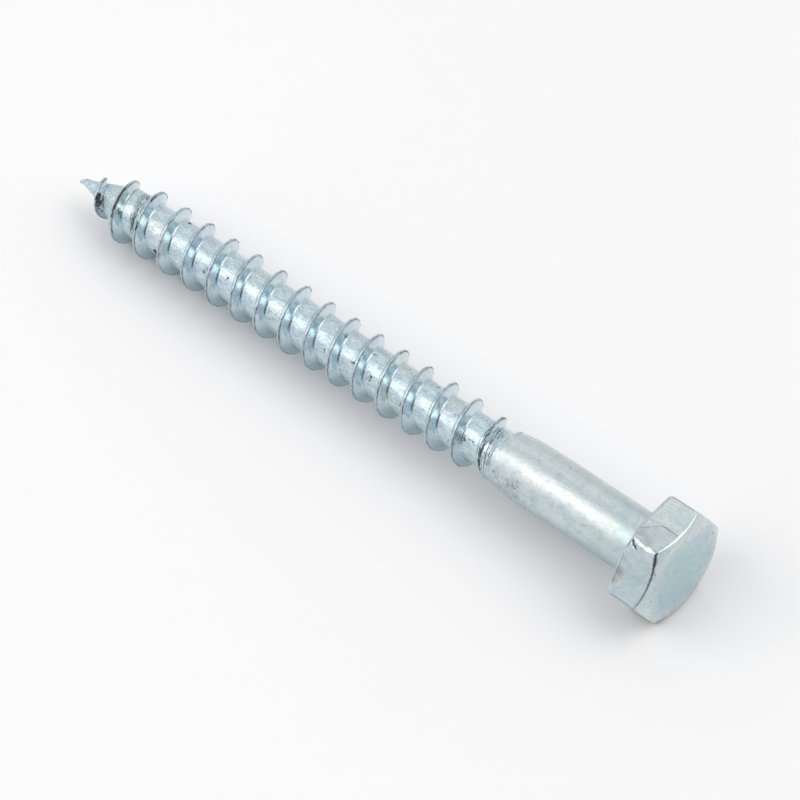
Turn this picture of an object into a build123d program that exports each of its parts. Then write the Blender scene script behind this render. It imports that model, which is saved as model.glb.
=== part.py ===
from build123d import *
from math import atan, atan2, ceil, cos, degrees, radians, sin, tan
import os

# Hex head wood screw (coach screw), nominal size 10 x 110, forged and rolled from one piece.
# It is drawn upright on its own axis, with the tip at height 0 and the head on top,
# and is then laid down the way it comes to rest on a flat surface.

# Main sizes in mm
thread_diameter = 10.0
core_diameter = 6.9
shank_diameter = 9.6
across_flats = 16.6
head_height = 6.3
length = 108.2  # tip to bearing face

# Thread
pitch = 4.68
thread_angle = 60.0  # between the two flanks
crest_width = 0.3
thread_length = 80.9  # tip to the shoulder of the neck

# Gimlet point
tip_diameter = 0.5
point_length = 8.4  # tip to where the core is full
crest_birth_height = 1.5
crest_birth_angle = -118.0  # round the axis, from the X axis of the drawing
first_crest_height = 2.9
first_crest_diameter = 4.1
full_crest_height = 10.6

# Neck between the last groove and the plain shank
neck_diameter = 8.4
neck_length = 5.2
shoulder_length = 0.5  # sloped step at the end of the last groove
run_out_turns = 1.25  # turns over which the crest sinks into the neck

# Head
end_face_diameter = 15.6
chamfer_angle = 32.0  # between the chamfer and the end face
corner_radius = 0.5
end_edge_bevel = 0.2
bearing_edge_bevel = 0.2
underhead_flare = 0.5  # the shank widens by this much where it meets the head

foot_depth = 0.2  # how deep the foot of the thread lies inside the core
seam_lag = 120.0  # the turned faces close this far behind the birth of the crest, clear of its stretches

thread_radius = thread_diameter / 2
core_radius = core_diameter / 2
shank_radius = shank_diameter / 2
neck_radius = neck_diameter / 2
tip_radius = tip_diameter / 2
end_face_radius = end_face_diameter / 2
foot_radius = core_radius - foot_depth
head_top = length + head_height


# Radius of the plain cone of the point, without the thread
def point_radius(height):
    return tip_radius + (core_radius - tip_radius) * height / point_length


# Plane through the axis at one angle round it, with X outward and Y up the axis
def half_plane(angle):
    outward = (cos(radians(angle)), sin(radians(angle)), 0)
    across = (sin(radians(angle)), -cos(radians(angle)), 0)
    return Plane(origin=(0, 0, 0), x_dir=outward, z_dir=across)


# Section of the ridge at one angle round the axis
def ridge_section(height, foot, crest, angle):
    half_crest = crest_width / 2
    half_foot = half_crest + (crest - foot) * tan(radians(thread_angle / 2))
    with BuildSketch(half_plane(angle)) as section:
        with BuildLine():
            Polyline(
                (foot, height - half_foot),
                (crest, height - half_crest),
                (crest, height + half_crest),
                (foot, height + half_foot),
                close=True,
            )
        make_face()
    return section.sketch


# Ridge between two stations, each a height with the radii of the foot and the crest there
def ridge(start, end):
    start_height, start_foot, start_crest = start
    end_height, end_foot, end_crest = end
    rise = end_height - start_height
    cone_angle = degrees(atan2(end_foot - start_foot, rise))
    first_section = ridge_section(start_height, start_foot, start_crest, 0)
    last_section = ridge_section(end_height, end_foot, end_crest, 360 * rise / pitch)
    with BuildPart() as stretch:
        with BuildLine() as foot_line:
            Helix(
                pitch / cos(radians(cone_angle)),
                rise,
                start_foot,
                center=(0, 0, start_height),
                cone_angle=cone_angle,
            )
        sweep(
            [first_section, last_section],
            path=foot_line.line,
            multisection=True,
            is_frenet=True,
        )
    return stretch.part


# The crest is born on the point, grows to full height and sinks into the neck
run_out_end = thread_length + pitch / 4
run_out_start = run_out_end - run_out_turns * pitch
middle_height = (full_crest_height + run_out_start) / 2
birth_radius = point_radius(crest_birth_height)
first_foot_radius = point_radius(first_crest_height) - foot_depth
stations = [
    (crest_birth_height, birth_radius / 2, birth_radius - foot_depth),
    (first_crest_height, first_foot_radius, first_crest_diameter / 2),
    (full_crest_height, foot_radius, thread_radius),
    (middle_height, foot_radius, thread_radius),
    (run_out_start, foot_radius, thread_radius),
    (run_out_end, foot_radius, neck_radius - foot_depth),
]

with BuildPart() as head:
    with BuildSketch(Plane.XY.offset(length)):
        RegularPolygon(radius=across_flats / 2, side_count=6, major_radius=False)
    extrude(amount=head_height)
    fillet(head.edges().filter_by(Axis.Z), corner_radius)
    # The chamfer is turned all round, so it leaves an arc on each flat
    chamfer_reach = across_flats - end_face_radius
    with BuildSketch(Plane.XZ):
        with BuildLine():
            Polyline(
                (end_face_radius, head_top),
                (across_flats, head_top),
                (across_flats, head_top - chamfer_reach * tan(radians(chamfer_angle))),
                close=True,
            )
        make_face()
    revolve(axis=Axis.Z, mode=Mode.SUBTRACT)
    chamfer(head.faces().sort_by(Axis.Z)[-1].edges(), end_edge_bevel)
    chamfer(head.faces().sort_by(Axis.Z)[0].edges(), bearing_edge_bevel)

with BuildPart() as wood_screw:
    # Point, core, neck and shank are one turned profile
    with BuildSketch(half_plane(crest_birth_angle - seam_lag)):
        with BuildLine():
            Polyline(
                (0, 0),
                (tip_radius, 0),
                (core_radius, point_length),
                (core_radius, thread_length),
                (neck_radius, thread_length + shoulder_length),
                (shank_radius, thread_length + neck_length),
                (shank_radius, length - underhead_flare),
                (shank_radius + underhead_flare, length),
                (0, length),
                close=True,
            )
        make_face()
    revolve(axis=Axis.Z)
    add(head.part)

    for start, end in zip(stations, stations[1:]):
        turned = crest_birth_angle + 360 * (start[0] - crest_birth_height) / pitch
        add(ridge(start, end), rotation=(0, 0, turned))

# At rest it lies on the edge of one flat and on the first full crest that faces down
first_low_crest = crest_birth_height + (-90 - crest_birth_angle) % 360 / 360 * pitch
turns_to_full = ceil((full_crest_height - first_low_crest) / pitch)
crest_contact_height = first_low_crest + turns_to_full * pitch
head_contact_height = length + bearing_edge_bevel
rest_tilt = atan(
    (across_flats / 2 - thread_radius) / (head_contact_height - crest_contact_height)
)
lying = Plane(
    origin=(0, 0, 0),
    x_dir=(0, 1, 0),
    z_dir=(cos(rest_tilt), 0, sin(rest_tilt)),
)
laid_down = wood_screw.part.moved(lying.location)
footprint = laid_down.bounding_box()
to_origin = Location((-footprint.center().X, -footprint.center().Y, -footprint.min.Z))

hex_screw = laid_down.moved(to_origin)
hex_screw.label = "wood_screw"
os.makedirs("parts", exist_ok=True)
export_step(hex_screw, "parts/wood_screw.step")
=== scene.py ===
import math

import bmesh
import bpy
from mathutils import Matrix, Vector, noise


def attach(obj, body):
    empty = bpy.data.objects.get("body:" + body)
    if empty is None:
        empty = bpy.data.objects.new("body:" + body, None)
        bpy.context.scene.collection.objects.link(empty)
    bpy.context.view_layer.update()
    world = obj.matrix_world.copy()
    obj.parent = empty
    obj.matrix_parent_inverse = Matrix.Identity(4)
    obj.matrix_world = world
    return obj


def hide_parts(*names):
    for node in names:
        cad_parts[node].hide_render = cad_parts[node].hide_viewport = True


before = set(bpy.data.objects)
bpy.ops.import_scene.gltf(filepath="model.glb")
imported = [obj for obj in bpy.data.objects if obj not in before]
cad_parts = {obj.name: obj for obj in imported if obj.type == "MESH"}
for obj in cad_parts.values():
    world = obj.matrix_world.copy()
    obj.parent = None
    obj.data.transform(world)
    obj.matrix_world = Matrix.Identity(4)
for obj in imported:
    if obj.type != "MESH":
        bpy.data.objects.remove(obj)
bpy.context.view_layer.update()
print("frame loaded")

# The screw is shaped upright in mm, tip at height 0, and laid down at the end
restPlace = {
    "tipX": -57.3417,
    "tipZ": 4.62133,
    "tilt": 1.94496,  # degrees that the axis rises towards the head
}

threadShape = {
    "pitch": 4.68,
    "birthHeight": 1.5,
    "birthAngle": -118.0,
    "crestHalfWidth": 0.13,
    "flankSlope": 1.732,
    "stepsPerTurn": 112,
    "lowCut": 0.62,
    "highCut": 83.6,
    # distances from the crest at which the profile has a point
    "across": (0.0, 0.06, 0.13, 0.2, 0.3, 0.43, 0.57, 0.71, 0.84, 0.95, 1.05, 1.16, 1.32, 1.56, 1.82, 2.08),
    # height of the crest line, crest radius there
    "crestStations": (
        (1.5, 0.3), (2.0, 0.6), (2.7, 1.35), (3.33, 1.98), (4.4, 2.62), (5.9, 3.3), (8.0, 4.2), (10.3, 4.97),
        (12.8, 5.0), (74.0, 5.0), (76.0, 4.88), (78.2, 4.66), (79.3, 4.42), (80.0, 4.25), (80.5, 3.7),
    ),
    # height, radius of the core
    "coreStations": (
        (0.0, 0.2), (0.36, 0.34), (0.8, 0.5), (1.3, 0.62), (1.9, 0.78), (2.8, 1.04), (3.4, 1.26), (4.3, 1.58),
        (5.6, 2.1), (7.0, 2.65), (8.9, 3.36), (9.8, 3.45), (80.0, 3.47),
    ),
    "footFillet": (0.02, 0.12),  # everywhere, and what is added above the point
    "filletGrows": (1.0, 6.0),  # heights between which it is added
    # height, how far the nib leans there towards the top of the photo
    "nibLean": ((0.0, -0.48), (0.4, -0.25), (0.9, -0.08), (1.9, -0.06), (3.2, 0.0)),
    "nibRings": ((0.38, 0.35), (0.18, 0.27), (0.07, 0.16)),  # height, radius
    "unevenness": 0.02,
    "ragged": (0.11, 0.16),  # of the crests, and more where they run out
    "raggedReach": (0.1, 0.5),  # distances from the crest over which it fades
    "runOut": ((77.4, 79.4), (80.6, 81.6)),  # heights over which more is added, and taken away again
    "crestFade": (82.6, 81.4),  # heights where the crest is gone, and where it is whole
    "zoneFade": (81.4, 82.4),  # heights over which the thread's finish gives way to the shank's
    "seamEnds": 14.0,  # degrees over which a fold rises and fades
    "seams": (
        {"from": 38.0, "to": 168.0, "height": 11.3, "halfWidth": 0.32, "rise": 0.22},
        {"from": 45.0, "to": 150.0, "height": 12.62, "halfWidth": 0.3, "rise": 0.12},
        {"from": 118.0, "to": 200.0, "height": 82.15, "halfWidth": 0.25, "rise": 0.1},
    ),
}

neckShape = {
    "from": 74.0,  # below this height there is only the core
    "lapStart": 200.0,  # angles round the neck run from minus this
    # angle round the axis, height where the last groove ends there
    "grooveEnd": ((-200.0, 80.0), (-150.0, 80.1), (-60.0, 80.8), (30.0, 81.5), (120.0, 82.25), (160.0, 82.2)),
    "lastCrest": (120.0, 79.47),  # angle, height of the last crest line there
    "grooveFade": (20.0, 152.0),  # angles over which the groove behind it gets shallow
    # height, radius
    "stations": (
        (79.0, 4.12), (81.5, 4.2), (82.6, 4.34), (83.8, 4.5),
        (84.8, 4.64), (85.6, 4.73), (86.6, 4.78), (90.0, 4.8),
    ),
    "wallWidth": 0.45,
}

# The layer fromCrest holds the distance from the crest, and these values where there is no thread
zoneValue = {"shank": 3.0, "head": 3.5}

spinRadius = 4.0  # any will do while a chain is spun

# What the mesh tells the material, point by point
layers = ("fromCrest", "headSide", "stain", "pitZone", "scored", "endFace")


def newObject(name, data):
    made = bpy.data.objects.new(name, data)
    bpy.context.scene.collection.objects.link(made)
    return made


def around(angle, radius):
    a = math.radians(angle)
    return math.cos(a) * radius, math.sin(a) * radius


def between(stations, x):
    if x <= stations[0][0]:
        return stations[0][1]
    for (x0, y0), (x1, y1) in zip(stations, stations[1:]):
        if x <= x1:
            return y0 + (y1 - y0) * (x - x0) / (x1 - x0)
    return stations[-1][1]


def smoothStep(low, high, x):
    t = min(1.0, max(0.0, (x - low) / (high - low)))
    return t * t * (3 - 2 * t)


def smoothMax(a, b, width):
    h = max(width - abs(a - b), 0.0) / width
    return max(a, b) + h * h * width / 4


def waver(x, y, z, seed=0.0):
    return noise.noise(Vector((x + seed * 7.3, y - seed * 3.1, z + seed * 11.7)))


def neckRadius(height):
    return between(neckShape["stations"], height)


# Distance from the nearest crest line and the height of that line at this angle
def crestAt(angle, height):
    t = threadShape
    first = t["birthHeight"] + ((angle - t["birthAngle"]) % 360) / 360 * t["pitch"]
    turn = round((height - first) / t["pitch"])
    line = first + turn * t["pitch"]
    return height - line, line


def bodyRadius(angle, height):
    t, n = threadShape, neckShape
    core = between(t["coreStations"], height)
    if height < n["from"]:
        return core
    lap = (angle + n["lapStart"]) % 360 - n["lapStart"]
    lastAngle, lastHeight = n["lastCrest"]
    neck = neckRadius(height)
    groove = core
    if height > lastHeight + (lap - lastAngle) / 360 * t["pitch"]:
        groove = core + (neck - core) * smoothStep(*n["grooveFade"], lap)
    wall = between(n["grooveEnd"], lap)
    half = n["wallWidth"] / 2
    return groove + (neck - groove) * smoothStep(wall - half, wall + half, height)


def threadRadius(angle, height):
    t = threadShape
    s, line = crestAt(angle, height)
    crest = between(t["crestStations"], line)
    if line < t["birthHeight"]:
        crest = 0.0
    body = bodyRadius(angle, height)
    away = max(0.0, abs(s) - t["crestHalfWidth"])
    ridge = crest - t["flankSlope"] * away
    least, added = t["footFillet"]
    fillet = added * smoothStep(*t["filletGrows"], height) + least
    return smoothMax(ridge, body, fillet), s


# Folds along the crest: in the second root, on the crest beside it and on the rim of the last groove
def seamRise(angle, height):
    t = threadShape
    rise = 0.0
    for seam in t["seams"]:
        lap = (angle - seam["from"]) % 360
        span = seam["to"] - seam["from"]
        if lap > span:
            continue
        s = height - seam["height"] - lap / 360 * t["pitch"]
        s += 0.05 * waver(lap * 0.12, height, 1.0, 5)
        side = min(1.0, lap / t["seamEnds"], (span - lap) / t["seamEnds"])
        rise += seam["rise"] * side * max(0.0, 1 - abs(s) / seam["halfWidth"])
    return rise


def spinThread(work):
    t = threadShape
    points = [-x for x in reversed(t["across"][1:])] + list(t["across"])
    points = [-t["pitch"] / 2] + points + [t["pitch"] / 2]
    first = t["birthHeight"] + ((0 - t["birthAngle"]) % 360) / 360 * t["pitch"]
    low = first - 2 * t["pitch"]
    turns = math.ceil((t["highCut"] - low) / t["pitch"]) + 1
    chain = [work.verts.new((spinRadius, 0.0, low + s)) for s in points]
    edges = [work.edges.new(pair) for pair in zip(chain, chain[1:])]
    bmesh.ops.spin(
        work,
        geom=chain + edges,
        cent=(0, 0, 0),
        axis=(0, 0, 1),
        dvec=(0, 0, t["pitch"] / t["stepsPerTurn"]),
        angle=math.radians(360),
        steps=t["stepsPerTurn"],
        use_merge=False,
        use_duplicate=False,
    )
    oneTurn = work.verts[:] + work.edges[:] + work.faces[:]
    for i in range(1, turns):
        made = bmesh.ops.duplicate(work, geom=oneTurn)["geom"]
        bmesh.ops.translate(
            work, verts=[g for g in made if isinstance(g, bmesh.types.BMVert)], vec=(0, 0, i * t["pitch"])
        )
    bmesh.ops.remove_doubles(work, verts=work.verts, dist=0.02)
    for cut, clearOuter in ((t["lowCut"], False), (t["highCut"], True)):
        bmesh.ops.bisect_plane(
            work,
            geom=work.verts[:] + work.edges[:] + work.faces[:],
            dist=0.003,
            plane_co=(0, 0, cut),
            plane_no=(0, 0, 1),
            clear_outer=clearOuter,
            clear_inner=not clearOuter,
        )
    for name in layers:
        work.verts.layers.float.new(name)
    fromCrest = work.verts.layers.float["fromCrest"]
    headSide = work.verts.layers.float["headSide"]
    for v in work.verts:
        angle = math.degrees(math.atan2(v.co.y, v.co.x))
        height = v.co.z
        radius, s = threadRadius(angle, height)
        x, y = around(angle, radius)
        near = (1 - smoothStep(*t["raggedReach"], abs(s))) * smoothStep(*t["crestFade"], height)
        usual, more = t["ragged"]
        grows, ends = t["runOut"]
        ragged = usual + more * smoothStep(*grows, height) * (1 - smoothStep(*ends, height))
        # small unevenness left by the rolling
        radius += t["unevenness"] * waver(x * 0.9, y * 0.9, height * 0.9)
        radius += near * ragged * waver(x * 1.8, y * 1.8, height * 0.5, 2)
        radius += seamRise(angle, height)
        v.co.x, v.co.y = around(angle, radius)
        v.co.z += near * (ragged + t["unevenness"]) * waver(x * 1.1, y * 1.1, height * 0.4, 3)
        v[fromCrest] = abs(s) + (zoneValue["shank"] - abs(s)) * smoothStep(*t["zoneFade"], height)
        v[headSide] = s * (1 - abs(s) / (t["pitch"] / 2))


def rimEdges(work, height, tolerance=0.02):
    return [
        e for e in work.edges
        if e.is_boundary and all(abs(v.co.z - height) < tolerance for v in e.verts)
    ]


# The nib is drawn out of the lower rim and closed at its end
def drawNib(work):
    t = threadShape
    rim = [e for e in work.edges if e.is_boundary and all(v.co.z < 3 for v in e.verts)]
    for height, radius in t["nibRings"]:
        made = bmesh.ops.extrude_edge_only(work, edges=rim)["geom"]
        rim = [g for g in made if isinstance(g, bmesh.types.BMEdge)]
        verts = [g for g in made if isinstance(g, bmesh.types.BMVert)]
        for v in verts:
            a = math.atan2(v.co.y, v.co.x)
            v.co = (math.cos(a) * radius, math.sin(a) * radius, height)
    bmesh.ops.pointmerge(work, verts=verts, merge_co=(0, 0, 0.03))


# The nib is a little out of line and its end droops
def bendNib(work):
    for v in work.verts:
        lean = between(threadShape["nibLean"], v.co.z)
        v.co.x += lean * math.cos(math.radians(30))
        v.co.y += lean * math.sin(math.radians(30))


shankShape = {
    "radius": 4.8,
    "start": 83.9,
    "bearing": 108.2,
    "flare": 0.5,
    "columns": 192,
    "above": 1000.0,  # height over all the rest
    "unevenness": 0.012,
    # parts of the chain from the neck to the middle of the end face, and their rows
    "rows": (
        ("shank", 34), ("flare", 6), ("under", 8), ("lowEdge", 4),
        ("side", 24), ("shoulder", 5), ("chamfer", 8), ("end", 22),
    ),
}

headShape = {
    "acrossFlats": 16.6,
    "height": 6.3,
    "endRadius": 7.8,
    "chamferAngle": 32.0,
    "cornerRadius": 0.55,
    "cornerPull": 4.5,  # degrees by which the columns crowd towards the corners
    "bearingBevel": (0.3, 0.55),  # inward, along the axis
    # angle, rounding there between the sides and the chamfer
    "shoulder": (
        (30.0, 0.17), (60.0, 0.21), (75.0, 0.23), (92.0, 0.3), (99.0, 0.2), (107.0, 0.25), (114.0, 0.17),
    ),
    "dome": 0.1,
    "domeReach": (3.5, 8.6),  # distances from the axis over which it falls
    "endRounding": 0.3,
    "endInset": 0.35,  # the rows of the end face begin this far inside its edge
    "sharpFrom": 32.0,  # degrees between two faces from which their edge shows
}


def hexRadius(angle):
    h = headShape
    apothem, corner = h["acrossFlats"] / 2, h["cornerRadius"]
    off = math.radians((angle + 30) % 60 - 30)
    centre = (apothem - corner) / math.cos(math.radians(30))
    turnIn = math.atan2(corner * 0.5, centre + corner * math.cos(math.radians(30)))
    if abs(off) < turnIn:
        return centre * math.cos(off) + math.sqrt(corner**2 - (centre * math.sin(off)) ** 2)
    return apothem / math.cos(math.radians(30) - abs(off))


def spinShankAndHead(work):
    s, h = shankShape, headShape
    bearing, reach = s["bearing"], s["radius"]
    rows = [("shank", 0.0)] + [(kind, i / count) for kind, count in s["rows"] for i in range(1, count + 1)]
    # each row is known by its height while the chain is spun
    chain = [work.verts.new((spinRadius, 0.0, s["above"] + i)) for i in range(len(rows))]
    edges = [work.edges.new(pair) for pair in zip(chain, chain[1:])]
    bmesh.ops.spin(
        work,
        geom=chain + edges,
        cent=(0, 0, 0),
        axis=(0, 0, 1),
        dvec=(0, 0, 0),
        angle=math.radians(360),
        steps=s["columns"],
        use_merge=True,
        use_duplicate=False,
    )
    fromCrest = work.verts.layers.float["fromCrest"]
    endFace = work.verts.layers.float["endFace"]
    for v in work.verts:
        if v.co.z < s["above"] - 1:
            continue
        kind, t = rows[round(v.co.z - s["above"])]
        angle = math.degrees(math.atan2(v.co.y, v.co.x))
        v[fromCrest] = zoneValue["shank"]
        if kind == "shank":
            z = s["start"] + (bearing - s["flare"] - s["start"]) * t
            radius = neckRadius(z)
            radius += s["unevenness"] * waver(*around(angle, 1.6), z * 0.22, 6)
        elif kind == "flare":
            a = t * math.pi / 2
            radius = reach + s["flare"] * (1 - math.cos(a))
            z = bearing - s["flare"] * (1 - math.sin(a))
        else:
            angle -= h["cornerPull"] * math.sin(math.radians(6 * angle))
            radius, z = headPoint(kind, t, angle)
            v[fromCrest] = zoneValue["head"]
            if kind == "end":
                v[endFace] = 1 - radius / h["endRadius"]
        v.co = (*around(angle, radius), z)
        if v[fromCrest] > zoneValue["shank"]:
            v.co = struck(v.co)
    # the last row has no width and becomes one point
    bmesh.ops.remove_doubles(
        work, verts=[v for v in work.verts if v.co.z > bearing + 6 and v.co.xy.length < 0.05], dist=0.06
    )


def endHeight(radius):
    s, h = shankShape, headShape
    slope = math.tan(math.radians(h["chamferAngle"]))
    drop = smoothMax(0.0, (radius - h["endRadius"]) * slope, h["endRounding"])
    drop += h["dome"] * smoothStep(*h["domeReach"], radius)
    return s["bearing"] + h["height"] - drop


def headPoint(kind, t, angle):
    s, h = shankShape, headShape
    bearing = s["bearing"]
    edge = hexRadius(angle)
    inner = s["radius"] + s["flare"]
    inward, up = h["bearingBevel"]
    rounding = between(h["shoulder"], angle)
    rim = endHeight(edge)
    if kind == "under":
        return inner + (edge - inward - inner) * t, bearing
    if kind == "lowEdge":
        return edge - inward * (1 - t), bearing + up * t
    if kind == "side":
        return edge, bearing + up + (rim - rounding - bearing - up) * t
    if kind == "shoulder":
        last = edge - rounding
        low, high = (edge, rim - rounding), (last, endHeight(last))
        radius = (1 - t) ** 2 * low[0] + 2 * t * (1 - t) * edge + t * t * high[0]
        return radius, (1 - t) ** 2 * low[1] + 2 * t * (1 - t) * rim + t * t * high[1]
    start = h["endRadius"] - h["endInset"]
    if kind == "chamfer":
        radius = edge - rounding + (start - edge + rounding) * t
    else:
        radius = start * (1 - t)
    return radius, endHeight(radius)


# The corner that faces the viewer was struck near the bearing face
struckCorner = {
    "angle": 120.0,
    "inward": 0.3,
    "along": 0.42,
    "reach": 2.6,
    "halfAngle": 15.0,
    "from": 5.0,  # nothing moves nearer to the axis than this
    "outer": (6.2, 8.4),  # distances from the axis over which the blows begin to tell
    "flattened": 9.2,  # the edge is beaten flat at this distance from the axis
    "flatUneven": 0.16,
    # by how much the flattening gets less, and the heights or degrees over which it does
    "flatLow": (0.16, 109.8, 108.5),
    "flatHigh": (0.25, 112.4, 113.9),
    "flatSides": (0.6, 13.0, 22.0),
    "forged": (0.03, 0.008),  # unevenness of all the faces, broad and fine
    "upperFlatFrom": 58.0,  # degrees
    "cornerAcross": -4.79,  # place of the corner, measured across that flat
    "overCorner": 12.0,  # degrees beyond the corner over which the fold ends
    "foldSlope": 0.05,
    "foldSlide": 4.5,
    "foldStep": (0.03, 0.5),  # height, width
    # height, where the struck part of the upper flat ends, measured across it
    "fold": ((108.2, -3.3), (109.2, -2.4), (110.5, -1.2), (111.6, -0.3), (115.0, -0.35)),
    # height, angle, radius there, size, depth
    "dents": (
        (108.9, 120.6, 9.3, 0.45, 0.14), (109.3, 122.6, 9.25, 0.5, 0.2), (109.8, 124.6, 9.2, 0.5, 0.2),
        (110.3, 126.2, 9.1, 0.45, 0.12), (111.2, 117.6, 9.1, 0.5, 0.06), (112.4, 122.2, 9.1, 0.5, 0.07),
        (113.9, 121.0, 9.0, 0.6, 0.22), (113.7, 125.0, 8.8, 0.5, 0.12), (109.4, 113.0, 9.0, 0.9, 0.08),
    ),
}


# Moves a point of the head where blows have bent it
def struck(point):
    s, c = shankShape, struckCorner
    x, y, z = point
    radius = math.hypot(x, y)
    if radius < c["from"]:
        return point
    angle = math.degrees(math.atan2(y, x))
    off = angle - c["angle"]
    outer = smoothStep(*c["outer"], radius)
    if angle > c["upperFlatFrom"]:
        across = x if off < 0 else min(x, c["cornerAcross"])
        past = between(c["fold"], z) - across
        slide = max(0.0, min(c["foldSlide"], past))
        stepHeight, stepWidth = c["foldStep"]
        step = stepHeight * smoothStep(0.0, stepWidth, past)
        y -= outer * (c["foldSlope"] * slide + step) * (1 - smoothStep(0, c["overCorner"], off))
    away = (z - s["bearing"]) / c["reach"]
    hit = (1 - smoothStep(0, c["halfAngle"], abs(off))) * outer * max(0.0, 1 - max(0.0, away)) ** 2
    radius = math.hypot(x, y)
    low, high, sides = c["flatLow"], c["flatHigh"], c["flatSides"]
    flat = c["flattened"] + c["flatUneven"] * waver(off * 0.07, 2.0, z * 1.3, 4)
    flat += low[0] * smoothStep(*low[1:], z)
    flat += sides[0] * smoothStep(*sides[1:], abs(off)) + high[0] * smoothStep(*high[1:], z)
    over = max(0.0, radius * math.cos(math.radians(off)) - flat) if abs(off) < sides[2] else 0.0
    shrink = 1 - (c["inward"] * hit + over) / radius
    x, y, z = x * shrink, y * shrink, z + c["along"] * hit
    for height, there, reach, size, depth in c["dents"]:
        gap = math.dist((x, y, z), (*around(there, reach), height))
        if gap < size:
            push = depth * (1 - smoothStep(0, size, gap)) / math.hypot(x, y)
            x, y = x * (1 - push), y * (1 - push)
    broad, fine = c["forged"]
    rough = broad * waver(x * 0.55, y * 0.55, z * 0.55, 8) + fine * waver(x * 2.1, y * 2.1, z * 2.1, 9)
    grow = 1 - (broad - rough) * outer / math.hypot(x, y)
    return x * grow, y * grow, z


# Strokes of grime: height and angle of both ends, half width, strength
stains = (
    (5.1, 134, 5.2, 150, 0.26, 0.95), (5.46, 156.39, 5.64, 169.61, 0.3, 0.8),
    (0.3, 20, 1.0, 45, 0.3, 0.6),
    (5.94, 137.59, 6.06, 146.41, 0.2, 0.8), (4.99, 114.9, 5.01, 117.1, 0.3, 0.5),
    (5.81, 179.39, 5.99, 192.61, 0.6, 0.5), (6.3, 150.29, 6.5, 165.71, 0.25, 0.6),
    (0.15, 10, 1.2, 42, 0.32, 0.9),
    (8.47, 80.37, 8.93, 115.63, 0.25, 1.2), (8.77, 92.37, 9.23, 127.63, 0.27, 1.3),
    (8.97, 101.93, 9.43, 138.07, 0.22, 1.2), (9.24, 118.13, 9.66, 149.87, 0.2, 0.9),
    (10.2, 136, 10.3, 142, 0.2, 0.6), (10.4, 145, 10.6, 150, 0.16, 0.7), (10.75, 152, 10.9, 158, 0.14, 0.6),
    (11.25, 140.91, 11.35, 149.09, 0.15, 0.7), (9.89, 130.15, 10.01, 139.85, 0.18, 0.7),
    (11.98, 93.44, 12.62, 142.56, 0.1, 0.5), (12.46, 130.59, 12.84, 159.41, 0.12, 0.8),
    (14.22, 131.78, 14.38, 144.22, 0.12, 0.9), (13.43, 69, 13.67, 87, 0.15, 0.9),
    (19.57, 50.54, 19.63, 55.46, 0.26, 1.4), (17.62, 182.0, 17.78, 190.0, 0.36, 1.5),
    (26.68, 149.36, 26.72, 152.64, 0.25, 0.7), (27.08, 135.36, 27.12, 138.64, 0.2, 0.7),
    (30.76, 125.73, 30.84, 132.27, 0.2, 0.7), (47.29, 46.18, 47.31, 47.82, 0.25, 0.7),
    (51.78, 91.36, 51.82, 94.64, 0.2, 0.7), (56.99, 85.18, 57.01, 86.82, 0.3, 0.7),
    (58.55, 138.91, 58.65, 147.09, 0.35, 0.7), (60.68, 134.36, 60.72, 137.64, 0.2, 0.8),
    (62.4, 63, 62.6, 63, 0.2, 0.7), (64.57, 153.54, 64.63, 158.46, 0.25, 0.7),
    (67.55, 58, 67.65, 58, 0.3, 0.7),
    (68.29, 159.18, 68.31, 160.82, 0.2, 0.7), (71.15, 33, 72.05, 33, 0.25, 0.9),
    (73.89, 169.18, 73.91, 170.82, 0.2, 0.7), (54.98, 135.36, 55.02, 138.64, 0.3, 0.7),
    (49.97, 146.54, 50.03, 151.46, 0.25, 0.7), (76.92, 135, 77.88, 135, 0.12, 0.8),
    (76.24, 134.09, 76.36, 143.91, 0.2, 0.8), (79.6, 134, 79.8, 146, 0.22, 0.9),
    (82.18, 34.81, 82.62, 69.19, 0.12, 0.7), (78.87, 76.32, 79.33, 111.68, 0.12, 0.6),
    (80.04, 159.88, 80.36, 184.12, 0.25, 0.9),
    (78.59, 41.89, 78.91, 66.11, 0.16, 0.7),
    (82.94, 157.9, 82.96, 160.1, 0.25, 0.6), (90.2, 109, 90.2, 109, 0.2, 0.5),
    (92.37, 69, 92.83, 69, 0.12, 0.6),
)
# Pitted patches in the same way
pitted = (
    (85.6, 166.0, 87.4, 154.0, 1.6, 1.0), (84.4, 180.0, 87.6, 176.0, 1.2, 0.9),
    (83.6, 172.0, 84.4, 160.0, 1.2, 0.8), (90.5, 158.0, 92.0, 154.0, 1.2, 0.6),
    (98.0, 146.0, 103.0, 138.0, 1.6, 0.35), (26.8, 140.0, 27.2, 150.0, 0.8, 0.7),
    (57.8, 136.0, 58.4, 148.0, 0.9, 0.7), (5.6, 135.0, 6.4, 165.0, 1.0, 0.7),
    (87.0, 310.0, 90.0, 290.0, 2.4, 0.8), (97.0, 255.0, 101.0, 245.0, 2.4, 0.6),
    (40.0, 280.0, 41.0, 300.0, 1.6, 0.6), (86.5, 60.0, 90.0, 80.0, 1.5, 0.35),
)

# Patches scored by parallel lines beside the crest
scoredPatches = (
    (79.05, 92.0, 80.2, 176.0, 0.6, 1.0), (80.1, 72.0, 81.2, 150.0, 0.8, 0.9),
    (11.35, 60.0, 12.95, 165.0, 0.62, 1.0), (77.9, 150.0, 78.3, 175.0, 0.4, 0.5),
)


# Layer, marks on it, share of the half width at which they begin to fade
markLayers = (("stain", stains, 0.5), ("pitZone", pitted, 0.1), ("scored", scoredPatches, 0.5))
markEnd = 1.5  # half widths at which they have faded


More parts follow.
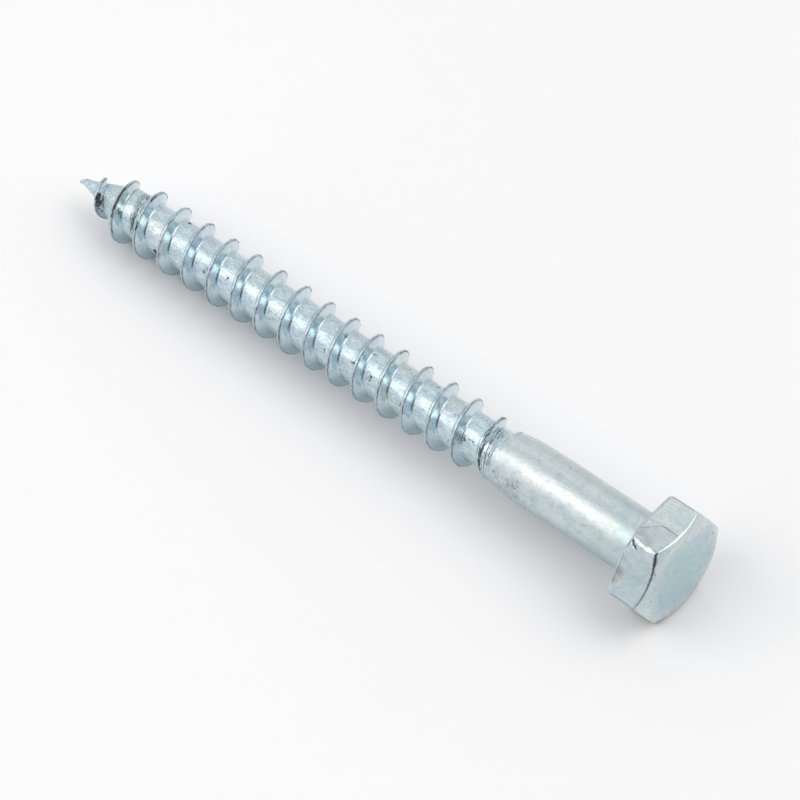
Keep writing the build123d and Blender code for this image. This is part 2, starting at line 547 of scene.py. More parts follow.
def paintMarks(work):
    for name, marks, soft in markLayers:
        layer = work.verts.layers.float[name]
        for v in work.verts:
            x, y, z = v.co
            close = []
            for mark in marks:
                reach = markEnd * mark[4]
                if min(mark[0], mark[2]) - reach < z < max(mark[0], mark[2]) + reach:
                    close.append(mark)
            if not close:
                continue
            radius = math.hypot(x, y)
            angle = math.degrees(math.atan2(y, x)) % 360
            perDegree = radius * math.pi / 180
            for z0, angle0, z1, angle1, width, strength in close:
                start = Vector((z0, angle0 * perDegree))
                way = Vector((z1, angle1 * perDegree)) - start
                here = Vector((z, angle * perDegree)) - start
                t = min(1.0, max(0.0, here.dot(way) / max(1e-6, way.length_squared)))
                gap = (here - way * t).length / width
                v[layer] = max(v[layer], strength * (1 - smoothStep(soft, markEnd, gap)))


def buildScrew():
    work = bmesh.new()
    spinThread(work)
    drawNib(work)
    spinShankAndHead(work)
    low = rimEdges(work, threadShape["highCut"])
    high = rimEdges(work, shankShape["start"])
    bmesh.ops.bridge_loops(work, edges=low + high)
    paintMarks(work)
    bendNib(work)
    bmesh.ops.remove_doubles(work, verts=work.verts, dist=0.0005)
    bmesh.ops.recalc_face_normals(work, faces=work.faces)
    for f in work.faces:
        f.smooth = True
    p = restPlace
    tilt = math.radians(p["tilt"])
    turn = Matrix(((0, 0, 1, 0), (1, 0, 0, 0), (0, 1, 0, 0), (0, 0, 0, 1)))
    shift = Matrix.Translation((p["tipX"], 0, p["tipZ"]))
    lay = Matrix.Scale(0.001, 4) @ shift @ Matrix.Rotation(-tilt, 4, "Y") @ turn
    bmesh.ops.transform(work, matrix=lay, verts=work.verts)
    mesh = bpy.data.meshes.new("woodScrewBody")
    work.to_mesh(mesh)
    work.free()
    screw = newObject("woodScrewBody", mesh)
    mesh.set_sharp_from_angle(angle=math.radians(headShape["sharpFrom"]))
    return screw


zincLook = {
    "paleColour": (0.635, 0.695, 0.70, 1),
    "blueColour": (0.48, 0.605, 0.675, 1),
    "warmColour": (0.635, 0.685, 0.645, 1),
    "threadColour": (0.605, 0.73, 0.785, 1),
    "endColour": (0.44, 0.635, 0.67, 1),
    # streak colour, also used for the painted shade along the foot of each flank
    "streakAndShadeColour": (0.33, 0.43, 0.49, 1),
    "grimeColour": (0.115, 0.095, 0.075, 1),
    # painted shade: darker teal for the underside, standing for the shadowed floor it reflects
    "underShadeColour": (0.31, 0.47, 0.52, 1),
    "castColour": (0.46, 0.60, 0.62, 1),  # on the shank towards the head
    "blackColour": (0.018, 0.02, 0.022, 1),
    "pitColour": (0.12, 0.145, 0.155, 1),
    "brightColour": (0.78, 0.86, 0.88, 1),
    # values of fromCrest between which one look gives way to the next
    "zones": {"root": (0.86, 1.02), "shank": (2.4, 3.0), "head": (3.1, 3.4)},
    # each for flank, root, shank and head
    "roughness": (0.17, 0.39, 0.43, 0.31),
    "bumps": (0.016, 0.095, 0.026, 0.014),  # height in mm
    "streaks": (0.25, 0.6, 0.25, 0.12),
    "hairlines": (0.35, 0.8, 0.4, 0.4),
    "patches": (0.2, 0.3, 0.36, 0.3),
    "fineness": (0.5, 1.05, 0.42, 0.5),  # strength of the finest light and dark
    "coat": 0.35,  # clear passivated film
    "coatRoughness": 0.34,
    # how much rougher or smoother each of these makes it
    "roughBy": {"cloud": 0.14, "mottle": 0.22, "grain": 0.1, "pitZone": 0.1, "crest": 0.25, "dirtAndShade": 0.2},
    "dullInDirtAndShade": 0.55,
    "bumpShares": (0.5, 0.5, 0.35),  # grain, streaks and lengthwise streaks beside the hammering
    # how far the tint, the grime and the black cover what is under them
    "endShare": 0.75,
    "grimeShare": 0.85,
    "blackShare": 0.95,
    "crestShare": 0.45,
    "pitShare": (0.28, 0.42),  # more in pitted patches, everywhere
    # fineness per mm
    "cloudScale": 0.36,
    "mottleScale": 0.9,
    "hammerScale": 1.3,
    "pitScale": 2.6,
    "grainScale": 3.0,
    "streakFineness": 4.5,
    "speckScale": 7.0,
    "crestLine": 0.17,  # from the middle of the crest to its dark lines
    "scoreDensity": 13.0,  # radians of the scored pattern per mm
    "pitDepth": 0.02,
    "scoreDepth": 0.008,
}

# Thin lines on the head from point to point: height and angle, the height left out on the chamfer's edge
# then half width at both ends in mm, strength
# Partly painted shade: the black line where face B meets the chamfer and the black crescent in the dents by
# the struck corner stand for shade in that groove and those dents, over grime
headLines = (
    (None, 118.2, None, 120.6, 0.1, 0.3, 1.0), (None, 120.5, None, 125.0, 0.28, 0.46, 1.0),
    (None, 125.0, None, 133.0, 0.44, 0.28, 1.0), (None, 133.0, None, 144.0, 0.28, 0.22, 0.85),
    (None, 144.0, None, 158.0, 0.25, 0.22, 0.75), (None, 158.0, None, 170.0, 0.22, 0.2, 0.65),
    (None, 170.0, None, 178.0, 0.2, 0.14, 0.55),
    (108.8, 120.2, 109.4, 123.4, 0.22, 0.3, 1.0), (109.4, 123.4, 110.3, 126.6, 0.3, 0.08, 1.0),
    (110.9, 92.5, 113.7, 92.7, 0.13, 0.1, 0.8), (108.4, 109.0, 109.2, 104.5, 0.2, 0.2, 0.35),
    (109.2, 104.5, 110.95, 93.0, 0.2, 0.12, 0.35), (108.9, 93.5, 110.9, 92.5, 0.13, 0.1, 0.25),
    (108.5, 122.0, 108.64, 150.0, 0.15, 0.2, 0.5), (108.64, 150.0, 108.5, 172.0, 0.22, 0.2, 0.6),
    (108.6, 116.0, 108.52, 90.0, 0.12, 0.12, 0.35), (108.52, 90.0, 108.6, 62.0, 0.12, 0.12, 0.35),
    (109.0, 179.6, 113.3, 180.0, 0.2, 0.2, 0.5), (113.3, 180.0, None, 181.0, 0.22, 0.14, 0.6),
    (108.8, 61.0, 112.6, 60.6, 0.13, 0.13, 0.4), (None, 58.0, None, 40.0, 0.13, 0.13, 0.35),
    (None, 40.0, None, 18.0, 0.13, 0.13, 0.3), (None, 18.0, None, -6.0, 0.13, 0.13, 0.3),
    (None, -6.0, None, -30.0, 0.13, 0.13, 0.35), (None, -30.0, None, -60.0, 0.13, 0.13, 0.4),
    (None, -60.0, None, -100.0, 0.15, 0.15, 0.45),
)
brightLines = (
    (108.7, 66.3, 112.6, 62.9, 0.1, 0.08, 0.6), (108.7, 70.1, 112.5, 67.6, 0.1, 0.08, 0.55),
    (109.0, 73.5, 111.6, 71.5, 0.1, 0.06, 0.4),
)
# Small dark marks round the end face: distance from the axis, angle, half width, strength
endMarks = (
    (7.5, 56.7, 0.26, 0.5), (7.2, 20.1, 0.32, 0.55), (8.4, 136.1, 0.26, 0.75), (8.0, 138.6, 0.24, 0.6),
    (4.97, -174.1, 0.34, 0.45), (7.1, 177.5, 0.26, 0.5), (8.5, 127.0, 0.2, 0.6), (6.7, 96.9, 0.2, 0.4),
    (7.6, -176.5, 0.22, 0.4), (3.0, 134.0, 0.22, 0.3), (5.4, 72.0, 0.2, 0.3), (6.3, 160.0, 0.24, 0.35),
    (6.9, -60.0, 0.26, 0.4), (5.2, -110.0, 0.22, 0.35), (2.2, -40.0, 0.24, 0.35),
)
# Tints on the head, some of them painted shade: height, distance from the axis, angle, half width, strength,
# colour
headTintsAndShade = (
    (114.4, 5.66, 36.0, 2.6, 0.6, (0.47, 0.55, 0.72, 1)),
    (114.3, 7.6, -172.0, 1.8, 0.7, (0.60, 0.76, 0.84, 1)),
    (114.1, 8.2, -150.0, 1.7, 0.8, (0.66, 0.70, 0.52, 1)),
    (114.4, 5.6, 150.0, 3.0, 0.4, (0.50, 0.66, 0.72, 1)),
    (114.4, 1.2, 80.0, 3.6, 0.6, (0.42, 0.62, 0.55, 1)),
    (114.4, 4.6, -140.0, 2.9, 0.65, (0.41, 0.635, 0.745, 1)),
    # painted shade: grey patches that dim the highlight on the struck corner
    (110.9, 9.1, 121.5, 0.6, 0.75, (0.42, 0.44, 0.45, 1)),
    (112.9, 9.1, 120.5, 0.5, 0.6, (0.42, 0.44, 0.45, 1)),
    (114.2, 7.8, 95.0, 2.0, 0.5, (0.66, 0.71, 0.66, 1)),
    # painted shade: face B darker as a whole, standing for the dark near horizon it reflects
    (111.2, 8.4, 150.0, 7.5, 0.6, (0.43, 0.53, 0.575, 1)),
    (109.0, 8.5, 156.0, 1.1, 0.75, (0.26, 0.24, 0.21, 1)),
    (108.7, 8.7, 166.0, 0.9, 0.75, (0.26, 0.24, 0.21, 1)),
    (110.4, 8.4, 113.0, 2.4, 0.4, (0.46, 0.50, 0.50, 1)),
)


# Small helpers for wiring a node tree
class Wiring:
    def __init__(self, tree):
        self.tree = tree
        self.nodes = tree.nodes
        self.links = tree.links

    def add(self, kind, settings=None, **inputs):
        node = self.nodes.new(kind)
        for name, value in (settings or {}).items():
            setattr(node, name, value)
        for name, value in inputs.items():
            key = int(name[1:]) if name[0] == "i" and name[1:].isdigit() else name.replace("_", " ")
            self.give(node.inputs[key], value)
        return node

    def give(self, socket, value):
        if isinstance(value, bpy.types.NodeSocket):
            self.links.new(value, socket)
        elif isinstance(value, bpy.types.Node):
            self.links.new(value.outputs[0], socket)
        else:
            socket.default_value = value

    def math(self, operation, a, b=0.0, c=0.0, clamp=False):
        node = self.add("ShaderNodeMath", {"operation": operation, "use_clamp": clamp}, i0=a, i1=b)
        if operation == "MULTIPLY_ADD":
            self.give(node.inputs[2], c)
        return node.outputs[0]

    def plus(self, a, b, clamp=False):
        return self.math("ADD", a, b, clamp=clamp)

    def minus(self, a, b, clamp=False):
        return self.math("SUBTRACT", a, b, clamp=clamp)

    def times(self, a, b):
        return self.math("MULTIPLY", a, b)

    def larger(self, a, b, clamp=False):
        return self.math("MAXIMUM", a, b, clamp=clamp)

    def ramp(self, value, low, high, start=0.0, end=1.0):
        return self.add(
            "ShaderNodeMapRange", {"interpolation_type": "SMOOTHSTEP"},
            Value=value, From_Min=low, From_Max=high, To_Min=start, To_Max=end,
        ).outputs[0]

    def noise(self, vector, scale, detail=2.0, roughness=0.5, distortion=0.0):
        return self.add(
            "ShaderNodeTexNoise", {"noise_dimensions": "3D"},
            Vector=vector, Scale=scale, Detail=detail, Roughness=roughness, Distortion=distortion,
        ).outputs["Fac"]

    def stretch(self, vector, scale, rotation=(0.0, 0.0, 0.0), location=(0.0, 0.0, 0.0)):
        return self.add(
            "ShaderNodeMapping", {"vector_type": "POINT"},
            Vector=vector, Scale=scale, Rotation=rotation, Location=location,
        ).outputs[0]

    def mix(self, fac, a, b, blend="MIX"):
        node = self.add("ShaderNodeMix", {"data_type": "RGBA", "blend_type": blend})
        self.give(node.inputs["Factor"], fac)
        self.give(node.inputs["A"], a)
        self.give(node.inputs["B"], b)
        return node.outputs["Result"]

    def vector(self, operation, **inputs):
        return self.add("ShaderNodeVectorMath", {"operation": operation}, **inputs)

    def attribute(self, name):
        settings = {"attribute_name": name, "attribute_type": "GEOMETRY"}
        return self.add("ShaderNodeAttribute", settings).outputs["Fac"]


def groupTree(name, inputs, outputs):
    tree = bpy.data.node_groups.new(name, "ShaderNodeTree")
    for label, kind, value in inputs:
        socket = tree.interface.new_socket(name=label, in_out="INPUT", socket_type=kind)
        if value is not None:
            socket.default_value = value
    for label, kind in outputs:
        tree.interface.new_socket(name=label, in_out="OUTPUT", socket_type=kind)
    wiring = Wiring(tree)
    return wiring, wiring.add("NodeGroupInput"), wiring.add("NodeGroupOutput")


# Cloudy tints of the passivated zinc
def platingTint():
    w, given, out = groupTree(
        "platingTint",
        [("Place", "NodeSocketVector", None), ("Scale", "NodeSocketFloat", 1.0),
         ("Pale", "NodeSocketColor", (1, 1, 1, 1)), ("Blue", "NodeSocketColor", (1, 1, 1, 1)),
         ("Warm", "NodeSocketColor", (1, 1, 1, 1))],
        [("Colour", "NodeSocketColor"), ("Cloud", "NodeSocketFloat")],
    )
    scaled = w.vector("SCALE", i0=given.outputs["Place"], Scale=given.outputs["Scale"])
    cloud = w.noise(scaled, 1.0, 3.0, 0.55, 0.4)
    other = w.noise(w.stretch(scaled, (0.6, 0.6, 0.6), location=(7.0, 3.0, 5.0)), 1.0, 2.0, 0.5)
    fine = w.minus(w.noise(w.stretch(scaled, (5.0, 7.0, 7.0)), 1.0, 3.0, 0.7), 0.5)
    blue = w.ramp(w.math("MULTIPLY_ADD", fine, 0.35, cloud), 0.44, 0.7)
    warm = w.ramp(w.math("MULTIPLY_ADD", fine, 0.3, other), 0.5, 0.74)
    colour = w.mix(w.times(blue, 0.6), given.outputs["Pale"], given.outputs["Blue"])
    colour = w.mix(w.times(warm, 0.6), colour, given.outputs["Warm"])
    w.give(out.inputs["Colour"], colour)
    w.give(out.inputs["Cloud"], cloud)
    return w.tree


# Streaks that run round the screw where it was rolled, and how far a point lies to its upper or lower side
def rollingStreaks():
    w, given, out = groupTree(
        "rollingStreaks",
        [("Place", "NodeSocketVector", None), ("Fineness", "NodeSocketFloat", 1.0),
         ("Length", "NodeSocketFloat", 1.0)],
        [("Streak", "NodeSocketFloat"), ("Side", "NodeSocketFloat")],
    )
    split = w.add("ShaderNodeSeparateXYZ", Vector=given.outputs["Place"])
    y2 = w.times(split.outputs["Y"], split.outputs["Y"])
    z2 = w.times(split.outputs["Z"], split.outputs["Z"])
    reach = w.larger(w.math("SQRT", w.plus(y2, z2)), 0.1)
    turns = w.math("DIVIDE", 6.0, given.outputs["Length"])
    upAndOut = w.math("MULTIPLY_ADD", reach, 0.7, split.outputs["X"])
    lines = w.add(
        "ShaderNodeCombineXYZ",
        X=w.times(upAndOut, given.outputs["Fineness"]),
        Y=w.times(w.math("DIVIDE", split.outputs["Y"], reach), turns),
        Z=w.times(w.math("DIVIDE", split.outputs["Z"], reach), turns),
    )
    w.give(out.inputs["Streak"], w.noise(lines, 1.0, 3.0, 0.6, 0.3))
    w.give(out.inputs["Side"], w.math("DIVIDE", split.outputs["Z"], reach))
    return w.tree


# Soft line between two points, a spot where they are one
def thinLine():
    w, given, out = groupTree(
        "thinLine",
        [("Place", "NodeSocketVector", None),
         ("From", "NodeSocketVector", None), ("To", "NodeSocketVector", None),
         ("Start Width", "NodeSocketFloat", 0.1), ("End Width", "NodeSocketFloat", 0.1),
         ("Strength", "NodeSocketFloat", 1.0)],
        [("Mask", "NodeSocketFloat")],
    )
    start = given.outputs["From"]
    way = w.vector("SUBTRACT", i0=given.outputs["To"], i1=start)
    here = w.vector("SUBTRACT", i0=given.outputs["Place"], i1=start)
    along = w.vector("DOT_PRODUCT", i0=here, i1=way)
    whole = w.vector("DOT_PRODUCT", i0=way, i1=way)
    length = w.larger(whole.outputs["Value"], 0.0001)
    t = w.math("DIVIDE", along.outputs["Value"], length, clamp=True)
    nearest = w.vector("SCALE", i0=way, Scale=t)
    gap = w.vector("DISTANCE", i0=here, i1=nearest).outputs["Value"]
    wider = w.minus(given.outputs["End Width"], given.outputs["Start Width"])
    width = w.math("MULTIPLY_ADD", wider, t, given.outputs["Start Width"])
    inside = w.minus(1.4, w.times(w.math("DIVIDE", gap, width), 1.4), clamp=True)
    w.give(out.inputs["Mask"], w.times(inside, given.outputs["Strength"]))
    return w.tree


# Point on the side of the head in the frame of the material
def headPlace(height, angle):
    if height is None:
        radius, height = headPoint("shoulder", 0.5, angle)
    else:
        radius = hexRadius(angle)
    x, y, z = struck((*around(angle, radius), height))
    return z, x, y


def placed(lines):
    return [(headPlace(*m[0:2]), headPlace(*m[2:4]), *m[4:7]) for m in lines]


def zincMaterial():
    look = zincLook
    material = bpy.data.materials.new("zincPlatedSteel")
    material.use_nodes = True
    w = Wiring(material.node_tree)
    shader = w.nodes["Principled BSDF"]
    coords = w.add("ShaderNodeTexCoord").outputs["Object"]
    # metres to mm in the screw's own frame: X along it from the tip, its axis at Y and Z zero
    tilt = math.radians(restPlace["tilt"])
    back = Matrix.Rotation(tilt, 3, "Y") @ Vector((restPlace["tipX"], 0, restPlace["tipZ"]))
    place = w.stretch(coords, (1000, 1000, 1000), rotation=(0, tilt, 0), location=tuple(-back))

    fromCrest, headSide, stain, pitZone, scored, endFace = (w.attribute(name) for name in layers)

    # one value for each zone, blended along the distance from the crest
    zones = look["zones"]

    def zoned(values):
        flank, root, shank, head = values
        value = w.ramp(fromCrest, *zones["root"], flank, root)
        value = w.plus(value, w.ramp(fromCrest, *zones["shank"], 0.0, shank - root))
        return w.plus(value, w.ramp(fromCrest, *zones["head"], 0.0, head - shank))

    # lines or spots, the strongest counts
    lineTree = thinLine()

    def drawn(lines, where):
        strongest = 0.0
        for start, end, startWidth, endWidth, strength in lines:
            line = w.add(
                "ShaderNodeGroup", {"node_tree": lineTree}, Place=where, From=start, To=end,
                Start_Width=startWidth, End_Width=endWidth, Strength=strength,
            )
            strongest = w.larger(strongest, line.outputs["Mask"])
        return strongest

    tint = w.add(
        "ShaderNodeGroup", {"node_tree": platingTint()}, Place=place, Scale=look["cloudScale"],
        Pale=w.mix(w.ramp(fromCrest, 2.2, 3.0), look["threadColour"], look["paleColour"]),
        Blue=look["blueColour"], Warm=look["warmColour"],
    )
    colour = tint.outputs["Colour"]
    cloud = tint.outputs["Cloud"]
    cloudy = w.times(w.minus(cloud, 0.5), 0.5)
    onEnd = w.ramp(w.plus(endFace, cloudy), 0.08, 0.34)
    colour = w.mix(w.times(onEnd, look["endShare"]), colour, look["endColour"])
    grain = w.noise(place, look["grainScale"], 4.0, 0.6)
    mottle = w.noise(place, look["mottleScale"], 4.0, 0.65, 0.6)
    # tints on the head, and painted shade that dims the struck corner's highlight and darkens face B
    for height, reach, angle, width, strength, shade in headTintsAndShade:
        spot = (height, *around(angle, reach))
        mask = drawn([(spot, spot, width, width, strength)], place)
        colour = w.mix(w.times(mask, w.ramp(mottle, 0.25, 0.6, 0.4, 1.0)), colour, shade)

    streaks = w.add(
        "ShaderNodeGroup", {"node_tree": rollingStreaks()},
        Place=place, Fineness=look["streakFineness"], Length=1.0,
    )
    streak = streaks.outputs["Streak"]
    side = streaks.outputs["Side"]
    hammer = w.noise(place, look["hammerScale"], 2.0, 0.5, 0.5)
    lengthwise = w.noise(w.stretch(place, (0.12, 2.4, 2.4)), 1.0, 2.0, 0.5)

    # darker streaks, hairlines and cloudy patches, and a painted dark line along the foot of each flank,
    # standing for the dark reflection in the fillet there
    streaksAndShade = w.times(w.ramp(streak, 0.54, 0.68), zoned(look["streaks"]))
    patches = w.times(w.ramp(mottle, 0.47, 0.7), zoned(look["patches"]))
    streaksAndShade = w.plus(streaksAndShade, patches, clamp=True)
    streaksAndShade = w.plus(streaksAndShade, w.times(scored, 0.5), clamp=True)
    hair = w.math("ABSOLUTE", w.minus(w.noise(place, 1.1, 4.0, 0.6, 0.8), 0.5))
    hair = w.times(w.ramp(hair, 0.003, 0.018, 1.0, 0.0), w.ramp(grain, 0.42, 0.6))
    streaksAndShade = w.larger(streaksAndShade, w.times(hair, zoned(look["hairlines"])))
    # painted shade: dark line along the foot of each flank, where the fillet reflects something dark
    footShade = w.ramp(w.math("ABSOLUTE", w.minus(fromCrest, 0.94)), 0.03, 0.12, 0.4, 0.0)
    streaksAndShade = w.larger(streaksAndShade, w.times(footShade, w.ramp(mottle, 0.3, 0.6, 0.5, 1.0)))
    specks = w.ramp(w.noise(place, look["speckScale"], 2.0, 0.6), 0.66, 0.74)
    specks = w.times(specks, w.ramp(mottle, 0.42, 0.6, 0.1, 0.5))
    onCrest = w.ramp(fromCrest, 0.2, 0.34, 1.0, 0.0)
    streaksAndShade = w.larger(streaksAndShade, w.times(onCrest, look["crestShare"]))
    colour = w.mix(w.larger(streaksAndShade, specks), colour, look["streakAndShadeColour"])

    # the finest light and dark, partly drawn out along the screw
    drawnOut = w.noise(w.stretch(place, (0.8, 7.0, 7.0)), 1.0, 2.0, 0.6)
    fine = w.plus(w.noise(place, 5.5, 3.0, 0.7), drawnOut)
    value = w.math("MULTIPLY_ADD", w.minus(fine, 1.0), zoned(look["fineness"]), 1.0)
    colour = w.add("ShaderNodeHueSaturation", Value=value, Color=colour).outputs[0]
    along = w.add("ShaderNodeSeparateXYZ", Vector=place).outputs["X"]
    cast = w.ramp(along, 95.0, 107.0, 0.0, 0.5)
    cast = w.times(cast, w.ramp(fromCrest, 3.05, 3.2, 1.0, 0.0))
    colour = w.mix(w.times(cast, w.ramp(cloud, 0.3, 0.6)), colour, look["castColour"])
    # painted shade: the underside of the thread and shank is tinted darker teal, standing for the shadowed
    # floor it reflects
    notHead = w.ramp(fromCrest, *zones["head"], 1.0, 0.0)
    under = w.times(w.ramp(side, -0.5, 0.15, 0.5, 0.0), notHead)
    colour = w.mix(under, colour, look["underShadeColour"])

    # two dark lines along the edges of the crest
    wander = w.times(w.minus(w.noise(place, 2.0, 2.0), 0.5), 0.2)
    offLine = w.math("ABSOLUTE", w.minus(w.plus(fromCrest, wander), look["crestLine"]))
    line = w.ramp(offLine, 0.02, 0.09, 1.0, 0.0)
    broken = w.ramp(w.noise(place, 1.1, 5.0, 0.7), 0.4, 0.6)
    crestGrime = w.times(line, w.math("MULTIPLY_ADD", broken, 0.85, 0.15))
    crestGrime = w.times(crestGrime, w.ramp(side, -0.5, 0.2, 0.4, 1.0))

    # parallel lines beside the last crest and the seam
    signed = w.times(w.math("SIGN", headSide), fromCrest)
    bend = w.times(w.minus(w.noise(place, 0.9, 4.0, 0.65), 0.5), 14.0)
    wave = w.math("SINE", w.math("MULTIPLY_ADD", signed, look["scoreDensity"], bend))
    grainy = w.times(scored, w.plus(grain, 0.5))
    scores = w.times(w.ramp(wave, 0.35, 0.9), w.ramp(grainy, 0.4, 0.75))
    scores = w.times(scores, w.ramp(mottle, 0.4, 0.52))

    speckle = w.times(w.minus(w.noise(place, 4.0, 3.0, 0.65), 0.5), 2.4)
    spots = w.times(w.ramp(w.plus(stain, speckle), 0.45, 0.8), w.ramp(stain, 0.05, 0.3))
    spots = w.larger(spots, w.times(scores, 0.9))

    # pits and the fine dark net between them
    pitNoise = w.plus(w.noise(place, look["pitScale"], 4.0, 0.7), w.times(pitZone, 0.165))
    net = w.math("ABSOLUTE", w.minus(w.noise(place, 1.5, 3.0, 0.6, 0.5), 0.5))
    inZone = w.ramp(w.times(pitZone, grain), 0.24, 0.5)
    net = w.times(w.ramp(net, 0.008, 0.035, 1.0, 0.0), inZone)
    pits = w.larger(w.ramp(pitNoise, 0.69, 0.8), net)
    pits = w.times(pits, w.ramp(fromCrest, 0.95, 1.1))

    # dark lines on the head, partly painted shade in the chamfer groove and the dents by the struck corner
    shift = w.math("MULTIPLY_ADD", w.noise(place, 1.9, 4.0, 0.65), 0.36, -0.18)
    wobbling = w.vector("ADD", i0=place, i1=shift)
    darkLines = drawn(placed(headLines), wobbling)
    ends = []
    for reach, angle, width, strength in endMarks:
        spot = (endHeight(reach), *around(angle, reach))
        ends.append((spot, spot, width, width, strength))
    atEnd = w.times(drawn(ends, place), w.ramp(grain, 0.38, 0.52))
    darkLines = w.larger(darkLines, atEnd)
    paleLines = drawn(placed(brightLines), place)

    pitShare = w.times(pits, w.math("MULTIPLY_ADD", pitZone, *look["pitShare"]))
    colour = w.mix(pitShare, colour, look["pitColour"])
    colour = w.mix(paleLines, colour, look["brightColour"])
    colour = w.mix(w.times(crestGrime, look["grimeShare"]), colour, look["grimeColour"])
    black = w.larger(spots, darkLines, clamp=True)
    colour = w.mix(w.times(black, look["blackShare"]), colour, look["blackColour"])
    w.give(shader.inputs["Base Color"], colour)

    # grime and painted shade both dull the metal and roughen it
    dirtAndShade = w.larger(crestGrime, black)
    w.give(shader.inputs["Metallic"], w.minus(1.0, w.times(dirtAndShade, look["dullInDirtAndShade"])))
    rough = zoned(look["roughness"])
    by = look["roughBy"]
    for pattern, amount in ((cloud, by["cloud"]), (mottle, by["mottle"]), (grain, by["grain"])):
        rough = w.plus(rough, w.times(w.minus(pattern, 0.5), amount))
    rough = w.plus(rough, w.times(pitZone, by["pitZone"]))
    rough = w.plus(rough, w.times(onCrest, by["crest"]))
    rough = w.plus(rough, w.times(w.larger(dirtAndShade, pits), by["dirtAndShade"]), clamp=True)
    w.give(shader.inputs["Roughness"], rough)
    shader.inputs["Coat Weight"].default_value = look["coat"]
    shader.inputs["Coat Roughness"].default_value = look["coatRoughness"]

    height = hammer
    for pattern, share in zip((grain, streak, lengthwise), look["bumpShares"]):
        height = w.plus(height, w.times(pattern, share))
    height = w.times(height, zoned(look["bumps"]))
    height = w.minus(height, w.times(w.larger(pits, spots), look["pitDepth"]))
    height = w.minus(height, w.times(w.times(wave, scored), look["scoreDepth"]))
    bump = w.add("ShaderNodeBump", Height=height, Strength=1.0, Distance=0.001)
    w.give(shader.inputs["Normal"], bump)
    return material


studio = {
    "floorColour": (0.878, 0.885, 0.9, 1),
    "floorRoughness": 0.9,
    "floorShine": 0.1,
    "floorRadius": 3.0,
    "horizonColour": (0.96, 0.96, 0.96, 1),
    # degrees from the far horizon over the zenith to the near one, light there
    "sky": (
        (0, (0.69, 0.70, 0.71)), (22, (0.70, 0.71, 0.72)), (42, (0.99, 1.0, 1.0)),
        (60, (1.08, 1.08, 1.08)), (69, (0.63, 0.67, 0.70)), (93, (0.59, 0.64, 0.67)),
        (104, (1.04, 1.03, 1.03)), (138, (1.15, 1.11, 1.09)), (150, (0.99, 1.01, 1.03)),
        (164, (0.905, 0.945, 0.985)), (172, (0.86, 0.905, 0.945)), (180, (0.67, 0.71, 0.75)),
    ),
    # second light behind on the right, dark room behind the camera: direction, degrees, colour
    "backLight": ((0.42, 0.28, 0.865), (12, 31), (1.6, 1.5, 1.42)),
    "darkRoom": ((0.58, -0.66, 0.47), (25, 44), (0.1, 0.1, 0.1)),
    "keyPlace": (-0.40, -0.505, 0.765),
    "keyDistance": 1.0,
    "keySize": (0.9, 0.6),
    "keyPower": 2.1,
    "keyColour": (1.0, 0.91, 0.86),
}


def buildFloor():
    work = bmesh.new()
    bmesh.ops.create_circle(work, cap_ends=True, cap_tris=False, segments=64, radius=studio["floorRadius"])
    mesh = bpy.data.meshes.new("floor")
    work.to_mesh(mesh)
    work.free()
    floor = newObject("floor", mesh)
    material = bpy.data.materials.new("paleFloor")
    material.use_nodes = True
    shader = material.node_tree.nodes["Principled BSDF"]
    shader.inputs["Base Color"].default_value = studio["floorColour"]
    shader.inputs["Roughness"].default_value = studio["floorRoughness"]
    shader.inputs["Specular IOR Level"].default_value = studio["floorShine"]
    mesh.materials.append(material)


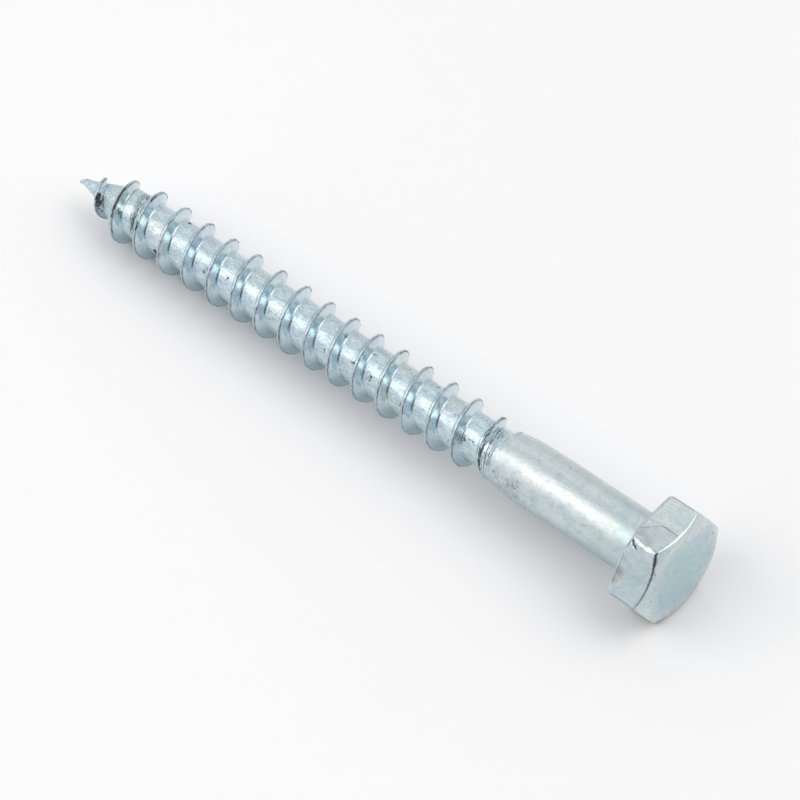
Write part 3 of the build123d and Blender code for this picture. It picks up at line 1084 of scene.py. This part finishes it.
def buildLight():
    world = bpy.data.worlds.new("studio")
    bpy.context.scene.world = world
    world.use_nodes = True
    w = Wiring(world.node_tree)
    background = w.nodes["Background"]
    # the sky changes from the far side over the top to the near side
    aim = w.add("ShaderNodeTexCoord").outputs["Generated"]
    direction = w.add("ShaderNodeSeparateXYZ", Vector=aim)
    turn = w.math("ARCTAN2", direction.outputs["Z"], direction.outputs["Y"])
    share = w.math("DIVIDE", turn, math.pi)
    ramp = w.add("ShaderNodeValToRGB", Fac=share)
    ramp.color_ramp.interpolation = "EASE"
    # a new ramp has a stop at either end already
    first, *middle, last = studio["sky"]
    stops = ramp.color_ramp.elements
    for degrees, colour in middle:
        stops.new(degrees / 180).color = (*colour, 1)
    stops[0].color = (*first[1], 1)
    stops[-1].color = (*last[1], 1)
    sky = ramp.outputs["Color"]
    for name, blend in (("darkRoom", "MULTIPLY"), ("backLight", "ADD")):
        centre, (inner, outer), colour = studio[name]
        centre = Vector(centre).normalized()
        facing = w.vector("DOT_PRODUCT", i0=aim, i1=centre)
        lobe = w.ramp(facing.outputs["Value"], math.cos(math.radians(outer)), math.cos(math.radians(inner)))
        sky = w.mix(lobe, sky, (*colour, 1), blend)
    w.give(background.inputs["Color"], sky)
    seen = w.add("ShaderNodeBackground", Color=studio["horizonColour"])
    fromCamera = w.add("ShaderNodeLightPath").outputs["Is Camera Ray"]
    mix = w.add("ShaderNodeMixShader", Fac=fromCamera, i1=background, i2=seen)
    w.give(w.nodes["World Output"].inputs["Surface"], mix)

    towards = Vector(studio["keyPlace"]).normalized()
    lamp = bpy.data.lights.new("softbox", "AREA")
    lamp.shape = "RECTANGLE"
    lamp.size, lamp.size_y = studio["keySize"]
    lamp.energy = studio["keyPower"]
    lamp.color = studio["keyColour"]
    box = newObject("softbox", lamp)
    across = Vector((1, 0, 0))
    across = (across - towards * across.dot(towards)).normalized()
    other = towards.cross(across)
    place = Matrix((across, other, towards)).transposed().to_4x4()
    place.translation = towards * studio["keyDistance"]
    box.matrix_world = place


cameraSetup = {
    "place": (0.430916, -0.521197, 0.880102),
    "right": (0.761293, 0.648232, 0.015129),
    "up": (-0.521146, 0.597826, 0.609107),
    "lens": 343.2,
    "sensor": 36.0,
}


def buildCamera():
    c = cameraSetup
    data = bpy.data.cameras.new("camera")
    data.lens = c["lens"]
    data.sensor_width = c["sensor"]
    camera = newObject("camera", data)
    right, up = Vector(c["right"]), Vector(c["up"])
    place = Matrix((right, up, right.cross(up))).transposed().to_4x4()
    place.translation = Vector(c["place"])
    camera.matrix_world = place
    bpy.context.scene.camera = camera


buildCamera()
buildFloor()
buildLight()
print("studio ready")

screw = buildScrew()
print("screw built:", len(screw.data.polygons), "faces")
screw.data.materials.append(zincMaterial())
print("zinc material ready")

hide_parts("wood_screw")
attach(screw, "root")

bpy.context.scene.view_settings.view_transform = "Standard"
